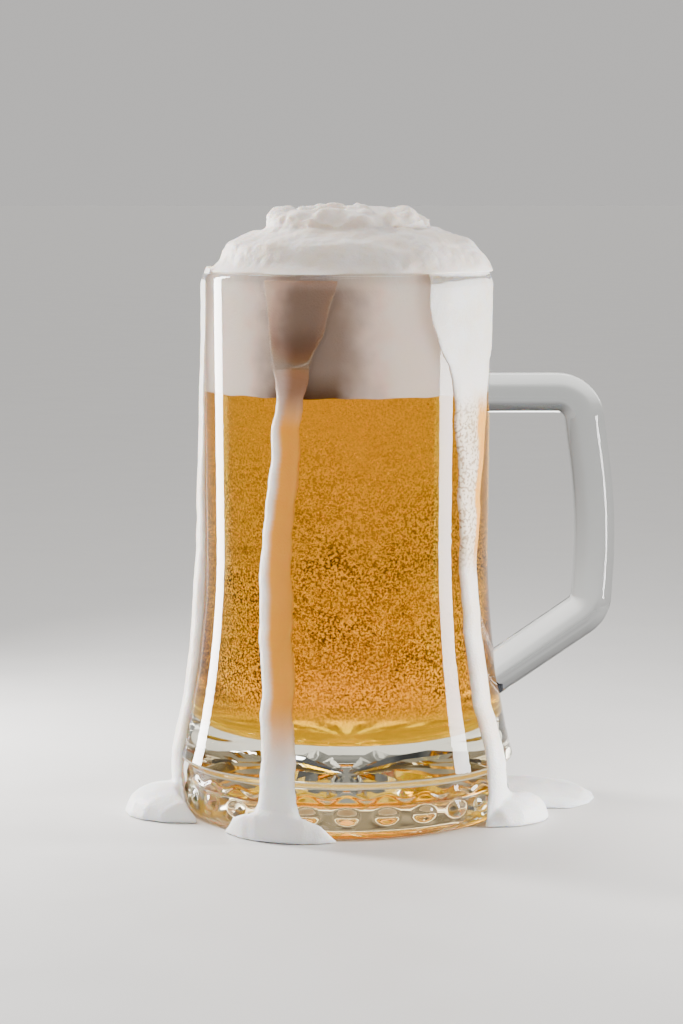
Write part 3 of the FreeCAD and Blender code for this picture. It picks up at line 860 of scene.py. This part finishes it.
def dome_limit(turn, z):
    """How far out the head may reach: set back on the left and front, full over the rim on the right."""
    rise = (z - MUG_HEIGHT) / MM
    inset = along(
        ((-4.0, 43.2), (-1.5, 42.9), (0.0, 41.9), (0.8, 40.2), (1.5, 38.9), (3.0, 37.8), (6.0, 36.6),
         (8.4, 35.2), (10.0, 32.5), (11.5, 29.0), (13.0, 24.0)), rise)
    full = along(
        ((-4.0, 43.2), (0.0, 43.0), (2.4, 42.4), (4.5, 41.0), (6.5, 39.2), (9.4, 36.0), (11.0, 33.0),
         (12.0, 29.5), (13.5, 24.5)), rise)
    right_from, right_over = math.radians(8.0), math.radians(34.0)
    back_from, back_over = math.radians(140.0), math.radians(50.0)
    share = smooth((turn - right_from) / right_over)
    if turn > back_from:
        share = 1.0 - smooth((turn - back_from) / back_over)
    return (inset + (full - inset) * share) * MM


def stretch(vertex, factor):
    """Moves a vertex straight out from the mug's axis, or in towards it."""
    vertex.co.x *= factor
    vertex.co.y *= factor


def set_weights(obj, name, weight):
    """A vertex group whose weight at each vertex is weight(place)."""
    group = obj.vertex_groups.new(name=name)
    for vertex in obj.data.vertices:
        amount = weight(vertex.co)
        if amount > 0.001:
            group.add([vertex.index], amount, "REPLACE")


def relief(obj, kind, size, strength, group="", middle=0.5, **settings):
    """Pushes the surface in and out by a procedural pattern and applies it."""
    texture = bpy.data.textures.new(kind.lower(), kind)
    texture.noise_scale = size
    for key, value in settings.items():
        setattr(texture, key, value)
    apply_modifier(obj, "DISPLACE", texture=texture, texture_coords="LOCAL", strength=strength,
                   mid_level=middle, vertex_group=group)
    bpy.data.textures.remove(texture)


def edge_weight(place, below):
    """How much a place belongs to the head's edge: above the rim or just below, away from the middle."""
    return (smooth((place.z - MUG_HEIGHT + below) / MM)
            * smooth((math.hypot(place.x, place.y) - CROWN_MIDDLE) / (4.0 * MM)))


def make_head(s):
    """The foam head: the dome and its lumps grown together, its column seated in the glass."""
    head = cad_copy("foam_head", "foam_crown")
    balls = []
    for centre, radius in crown_lumps(s, head):
        deselect()
        bpy.ops.mesh.primitive_ico_sphere_add(subdivisions=3, radius=radius, location=centre)
        balls.append(bpy.context.object)
    deselect()
    for ball in balls:
        ball.select_set(True)
    head.select_set(True)
    bpy.context.view_layer.objects.active = head
    bpy.ops.object.join()
    apply_modifier(head, "REMESH", mode="VOXEL", voxel_size=s.detail, adaptivity=0.0)
    apply_modifier(head, "SMOOTH", factor=0.5, iterations=5)
    rim = MUG_HEIGHT
    shelf = rim + SHELF_RISE
    set_weights(head, "skirt", lambda p: edge_weight(p, 2.0 * MM))
    apply_modifier(head, "SMOOTH", factor=0.5, iterations=40, vertex_group="skirt")
    for vertex in head.data.vertices:
        x, y, z = vertex.co
        radius = math.hypot(x, y)
        if z > rim - 3.0 * MM and radius > 22.0 * MM:
            limit = dome_limit(math.atan2(x, -y), z)
            if radius > limit:
                stretch(vertex, limit / radius)
        if z > shelf:
            lower = along(((-24.0, 0.98), (4.0, 0.96), (14.0, 0.80), (26.0, 0.80)), x / MM)
            vertex.co.z = shelf + (z - shelf) * lower
    set_weights(head, "sides", lambda p: edge_weight(p, 1.0 * MM))
    apply_modifier(head, "SMOOTH", factor=0.5, iterations=30, vertex_group="sides")
    set_weights(head, "dome", lambda p: smooth((p.z - rim - 0.5 * MM) / (3.0 * MM)))
    relief(head, "VORONOI", 5.5 * MM, -0.7 * MM, "dome", 0.35)
    relief(head, "CLOUDS", 9.0 * MM, 1.3 * MM, "dome", noise_depth=0)
    relief(head, "VORONOI", 2.2 * MM, -0.28 * MM, "dome", 0.35)
    relief(head, "CLOUDS", 1.8 * MM, 0.2 * MM, "dome", noise_depth=1)
    column_top = rim - 1.0 * MM
    for vertex in head.data.vertices:
        x, y, z = vertex.co
        radius = math.hypot(x, y)
        if z < column_top and radius > inner_radius(z) - 1.6 * MM:
            goal = inner_radius(z) + SEAT * 1.5
            share = smooth((column_top - z) / (1.2 * MM))
            stretch(vertex, 1.0 + (goal / radius - 1.0) * share)
        if z < BEER_LEVEL + 0.6 * MM:
            wave = noise.noise(Vector((x, y, 0.0)) * 160.0) * 0.45 * MM
            vertex.co.z = max(z, BEER_LEVEL) + wave
    shade(head)
    # Its column behind the glass takes the painted shade of foam_in_glass and the painted glow.
    material = foam_material("head_foam", tuple(s.colour), 0.15, s.grain, foam_in_glass,
                             FOAM_GLOW, rim, rim - 4.0 * MM)
    return finish_piece(head, "foam_crown", "foam", material, "foam_head")


def across_share(obj):
    """Stores how far each vertex lies from a run's left edge to its right, at its own height."""
    bins = {}
    step = 1.5 * MM
    narrowest = 1e-6
    turns = []
    for vertex in obj.data.vertices:
        turn = math.atan2(vertex.co.x, -vertex.co.y)
        key = round(vertex.co.z / step)
        low, high = bins.get(key, (turn, turn))
        bins[key] = (min(low, turn), max(high, turn))
        turns.append((key, turn))
    values = []
    for key, turn in turns:
        low, high = bins[key]
        values.append((turn - low) / max(high - low, narrowest))
    attribute = obj.data.attributes.new("across", "FLOAT", "POINT")
    attribute.data.foreach_set("value", values)


def whiter_low(n, tone):
    """Low down and in the pools the foam is thick and white."""
    return n.mix(n.reach(n.axis("Z"), 30.0 * MM, 10.0 * MM), tone, n.mix(0.9, tone, (1.0, 0.99, 0.985)))


def front_thin(n, tone):
    """The front run: white along its left edge, beer showing through the rest, and painted brown high up as
    shade.

    Its top is a faint film that takes the colour of the foam inside the glass, painted shade included.
    """
    across = n.uneven(n.attribute("across"), 60.0, 0.15)
    height = n.axis("Z")
    thin = n.reach(across, 0.26, 0.52)
    behind = n.product(n.reach(height, 18.0 * MM, 40.0 * MM), n.reach(height, 128.0 * MM, 116.0 * MM))
    golden = n.mix(n.reach(across, 0.45, 0.9), (1.0, 0.40, 0.0), (0.88, 0.36, 0.0))
    # Painted shade: high up the run is painted brown, darkest towards its right side.
    high = n.reach(height, 112.0 * MM, 130.0 * MM)
    tone = n.mix(n.product(high, 0.85), tone, (0.52, 0.34, 0.27))
    painted_shade = n.product(n.reach(across, 0.15, 0.6), high)
    tone = n.mix(n.product(painted_shade, 0.95), tone, (0.30, 0.14, 0.065))
    film = n.reach(height, 134.0 * MM, 147.0 * MM)
    tone = n.mix(film, tone, foam_in_glass(n, tone))
    tone = n.mix(n.product(thin, behind, 0.95), tone, golden)
    return whiter_low(n, tone)


def right_thin(n, tone):
    """The right run is a bubbly film high up, clear along its right side, and a solid stream lower down."""
    across = n.uneven(n.attribute("across"), 90.0, 0.25)
    height = n.axis("Z")
    film = n.product(n.reach(height, 70.0 * MM, 84.0 * MM), n.reach(height, 128.0 * MM, 118.0 * MM))
    clear = n.product(n.reach(across, 0.48, 0.62), film)
    flecks = n.product(n.reach(n.noise(1100.0, detail=1.0), 0.5, 0.6), film)
    tone = n.mix(n.product(film, 0.55), tone, (0.70, 0.55, 0.33))
    tone = n.mix(n.product(flecks, 0.7), tone, (0.25, 0.13, 0.03))
    return whiter_low(n, n.mix(n.product(clear, 0.9), tone, (0.72, 0.29, 0.0)))


def make_run(node, name, s, thin, top_keep=0.4, sink=0.0):
    """A run of foam and its pool: the node's shape softened, unevened and seated on the glass.

    Its top keeps a share of its thickness and leans in over the rim, or lies just inside the wall.
    """
    thin_from, thin_over = 122.0 * MM, 22.0 * MM
    sink_from, sink_over = 141.0 * MM, 12.0 * MM
    lean_from, lean_over, lean = 155.5 * MM, 4.0 * MM, 1.5 * MM
    run = cad_copy(node, name)
    for vertex in run.data.vertices:
        radius = math.hypot(vertex.co.x, vertex.co.y)
        wall = outer_radius(vertex.co.z)
        if vertex.co.z > 12.0 * MM and radius < wall + 0.45 * MM:
            stretch(vertex, (wall - 0.35 * MM) / radius)
    apply_modifier(run, "REMESH", mode="VOXEL", voxel_size=RUN_DETAIL, adaptivity=0.0)
    apply_modifier(run, "SMOOTH", factor=0.5, iterations=RUN_SMOOTHING)
    relief(run, "CLOUDS", 9.0 * MM, 0.6 * MM, noise_depth=1)
    relief(run, "CLOUDS", 2.4 * MM, 0.14 * MM, noise_depth=2)
    for vertex in run.data.vertices:
        radius = math.hypot(vertex.co.x, vertex.co.y)
        wall = outer_radius(vertex.co.z)
        if vertex.co.z > 14.0 * MM and radius < wall + 0.05 * MM:
            stretch(vertex, (wall - 0.2 * MM) / radius)
        vertex.co.z = max(vertex.co.z, 0.02 * MM)
        radius = math.hypot(vertex.co.x, vertex.co.y)
        if vertex.co.z > 120.0 * MM and radius > wall:
            keep = 1.0 - (1.0 - top_keep) * smooth((vertex.co.z - thin_from) / thin_over)
            stretch(vertex, (wall + (radius - wall) * keep) / radius)
        if sink:
            under = smooth((vertex.co.z - sink_from) / sink_over)
            stretch(vertex, (math.hypot(vertex.co.x, vertex.co.y) - sink * under) / radius)
            vertex.co.z = min(vertex.co.z, MUG_HEIGHT - 1.6 * MM)
            continue
        lift = smooth((vertex.co.z - lean_from) / lean_over)
        if lift > 0.0 and radius > 0.0:
            stretch(vertex, 1.0 - lift * lift * lean / radius)
            vertex.co.z += lift * lift * lean
    across_share(run)
    shade(run)
    # The film sunk inside the wall gets the same painted glow as the foam behind the glass.
    lit = FOAM_GLOW if sink else 0.0
    material = foam_material(name, tuple(s.colour), 0.7, s.grain, thin, lit, 140.0 * MM, 148.0 * MM)
    return finish_piece(run, name, "foam", material, node)


def make_runs(s):
    """The three runs with their pools, and the pool at the back."""
    make_run("foam_run_front", "foam_run_front_soft", s, front_thin, 0.05, FILM_SINK)
    make_run("foam_run_left", "foam_run_left_soft", s, whiter_low)
    make_run("foam_run_right", "foam_run_right_soft", s, right_thin, 0.45)
    make_run("foam_pool_back", "foam_pool_back_soft", s, whiter_low)


# ---- The stage ----

def link(name, data):
    """Puts a light or a camera into the scene."""
    obj = bpy.data.objects.new(name, data)
    bpy.context.scene.collection.objects.link(obj)
    return obj


def area_light(name, place, target, size, power, colour):
    """A rectangular light turned to its target and hidden from the camera."""
    data = bpy.data.lights.new(name, "AREA")
    data.shape = "RECTANGLE"
    data.size = size[0]
    data.size_y = size[1]
    data.energy = power
    data.color = colour
    light = link(name, data)
    light.location = place
    light.rotation_euler = (Vector(target) - Vector(place)).to_track_quat("-Z", "Y").to_euler()
    light.visible_camera = False


def strip_light(name, azimuth, height, size, power, colour):
    """An upright strip beside the mug: azimuth 0 is the front, and it grows towards the right."""
    distance = 0.30
    turn = math.radians(azimuth)
    place = (distance * math.sin(turn), -distance * math.cos(turn), height)
    area_light(name, place, (0.0, 0.0, height), size, power, colour)


def studio_world():
    """Soft surroundings: pale round the horizon, dimmer overhead and to either side."""
    world = bpy.data.worlds.new("studio")
    world.use_nodes = True
    tree = world.node_tree
    tree.nodes.clear()
    kinds = ("TexCoord", "SeparateXYZ", "ValToRGB", "Math", "ValToRGB", "Mix", "Background", "OutputWorld")
    place, split, rising, sideways, aside, both, back, out = (
        tree.nodes.new("ShaderNode" + kind) for kind in kinds)
    set_stops(rising, ((0.10, (0.62, 0.605, 0.59)), (0.45, (0.12, 0.117, 0.114))))
    set_stops(aside, ((0.40, (1.0, 1.0, 1.0)), (0.72, (0.55, 0.54, 0.53))))
    sideways.operation = "ABSOLUTE"
    both.data_type = "RGBA"
    both.blend_type = "MULTIPLY"
    both.inputs["Factor"].default_value = 1.0
    for source, goal in (
            (place.outputs["Generated"], split.inputs[0]),
            (split.outputs["Z"], rising.inputs["Fac"]),
            (split.outputs["X"], sideways.inputs[0]),
            (sideways.outputs[0], aside.inputs["Fac"]),
            (rising.outputs["Color"], both.inputs[6]),
            (aside.outputs["Color"], both.inputs[7]),
            (both.outputs[2], back.inputs["Color"]),
            (back.outputs[0], out.inputs["Surface"])):
        tree.links.new(source, goal)
    bpy.context.scene.world = world


def make_stage():
    """The floor, the surroundings, the lights and the camera that looks slightly down at the mug."""
    floor_drop = 0.0002
    deselect()
    bpy.ops.mesh.primitive_grid_add(
        x_subdivisions=8, y_subdivisions=8, size=60.0, location=(0, 0, -floor_drop))
    floor = bpy.context.object
    floor.name = "floor"
    floor.data.materials.append(floor_material((0.72, 0.71, 0.695)))
    studio_world()
    strip_light("strip_right", 81.0, 0.075, (0.07, 0.13), 2.4, WARM_WHITE)
    strip_light("strip_left", -117.0, 0.170, (0.065, 0.32), 4.6, (1.0, 0.98, 0.96))
    area_light("soft_top", (-0.15, -0.35, 0.9), (0.0, 0.0, 0.16), (0.5, 0.5), 6.0, (1.0, 0.985, 0.97))
    data = bpy.data.lights.new("soft_back", "SUN")
    data.energy = 2.3
    data.angle = math.radians(40.0)
    data.color = WARM_WHITE
    sun = link("soft_back", data)
    sun.rotation_euler = (math.radians(-38.0), 0.0, 0.0)
    data = bpy.data.cameras.new("camera")
    data.lens = 105.0
    data.clip_start = 0.05
    camera = link("camera", data)
    look_down = 6.2
    camera.location = (-0.0015, -0.880, 0.1845)
    camera.rotation_euler = (math.radians(90.0 - look_down), 0.0, 0.0)
    bpy.context.scene.camera = camera


# ---- Operators, one for each piece or group of like pieces ----

class BEERMUG_OT_glass(bpy.types.Operator):
    """Add the pressed glass mug with its handle, beads and star-cut foot"""
    bl_idname = "beermug.glass"
    bl_label = "Glass mug"

    def execute(self, context):
        make_glass(context.scene.beermug_glass)
        return {"FINISHED"}


class BEERMUG_OT_beer(bpy.types.Operator):
    """Fill the mug with beer up to its level"""
    bl_idname = "beermug.beer"
    bl_label = "Beer"

    def execute(self, context):
        make_beer(context.scene.beermug_drink)
        return {"FINISHED"}


class BEERMUG_OT_bubbles(bpy.types.Operator):
    """Scatter the bubbles through the beer"""
    bl_idname = "beermug.bubbles"
    bl_label = "Bubbles in the beer"

    def execute(self, context):
        make_bubbles(context.scene.beermug_drink)
        return {"FINISHED"}


class BEERMUG_OT_head(bpy.types.Operator):
    """Add the foam head with its lumpy crown"""
    bl_idname = "beermug.head"
    bl_label = "Foam head"

    def execute(self, context):
        make_head(context.scene.beermug_foam)
        return {"FINISHED"}


class BEERMUG_OT_runs(bpy.types.Operator):
    """Add the runs of foam down the outside and their pools"""
    bl_idname = "beermug.runs"
    bl_label = "Foam runs and pools"

    def execute(self, context):
        make_runs(context.scene.beermug_foam)
        return {"FINISHED"}


class BEERMUG_OT_stage(bpy.types.Operator):
    """Add the pale floor, the soft lights and the camera"""
    bl_idname = "beermug.stage"
    bl_label = "Stage"

    def execute(self, context):
        make_stage()
        return {"FINISHED"}


class BEERMUG_PT_panel(bpy.types.Panel):
    """Sidebar panel that lists the mug's pieces"""
    bl_idname = "BEERMUG_PT_panel"
    bl_label = "Mug of beer"
    bl_space_type = "VIEW_3D"
    bl_region_type = "UI"
    bl_category = "Mug of beer"

    def draw(self, context):
        layout = self.layout
        for step in STEPS:
            layout.operator(step.bl_idname)
        for group in ("beermug_glass", "beermug_drink", "beermug_foam"):
            settings = getattr(context.scene, group)
            box = layout.box()
            for key in settings.__annotations__:
                box.prop(settings, key)


STEPS = (
    BEERMUG_OT_glass,
    BEERMUG_OT_beer,
    BEERMUG_OT_bubbles,
    BEERMUG_OT_head,
    BEERMUG_OT_runs,
    BEERMUG_OT_stage,
)
CLASSES = (MugOfBeerGlass, MugOfBeerDrink, MugOfBeerFoam) + STEPS + (BEERMUG_PT_panel,)


def register():
    for item in CLASSES:
        bpy.utils.register_class(item)
    bpy.types.Scene.beermug_glass = bpy.props.PointerProperty(type=MugOfBeerGlass)
    bpy.types.Scene.beermug_drink = bpy.props.PointerProperty(type=MugOfBeerDrink)
    bpy.types.Scene.beermug_foam = bpy.props.PointerProperty(type=MugOfBeerFoam)


def unregister():
    del bpy.types.Scene.beermug_glass
    del bpy.types.Scene.beermug_drink
    del bpy.types.Scene.beermug_foam
    for item in reversed(CLASSES):
        bpy.utils.unregister_class(item)


def main():
    """Builds every piece and the stage."""
    register()
    bpy.ops.beermug.glass()
    bpy.ops.beermug.beer()
    bpy.ops.beermug.bubbles()
    bpy.ops.beermug.head()
    bpy.ops.beermug.runs()
    bpy.ops.beermug.stage()


if __name__ == "__main__":
    main()
